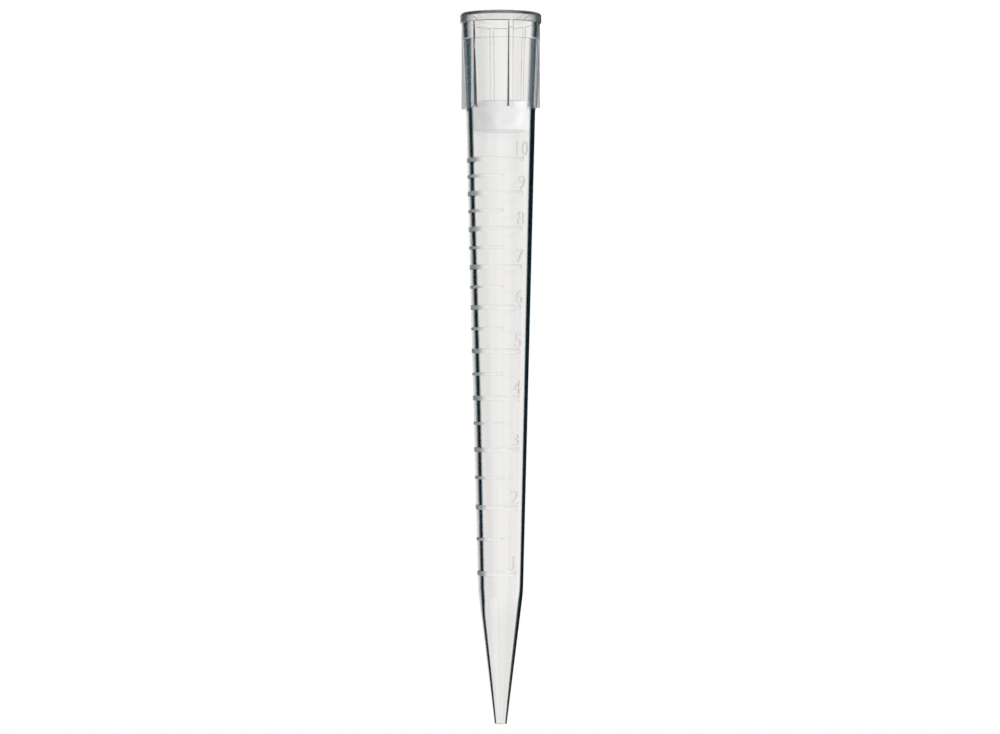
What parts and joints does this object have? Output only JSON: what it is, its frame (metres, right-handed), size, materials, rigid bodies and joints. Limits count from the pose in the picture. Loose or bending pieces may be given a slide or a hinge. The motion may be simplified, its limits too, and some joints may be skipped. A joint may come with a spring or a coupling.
{
  "type": "pipette tip",
  "caption": "Clear tapered filter tip for a large-volume pipettor, with a ribbed collar, a raised volume scale, a nozzle cone and a porous plug in its socket.",
  "frame": {"origin": "centre of the rim face, on which the tip stands", "axes": "+Z along the tip from the rim to the nozzle; -Y is the front, where the scale is read"},
  "size_m": [0.0188, 0.0188, 0.165],
  "materials": {
    "clear_body": "clear glossy polypropylene",
    "filter": "porous sintered polyethylene"
  },
  "bodies": {
    "root": {"tip_body": "clear_body", "filter_plug": "filter"}
  },
  "joints": []
}
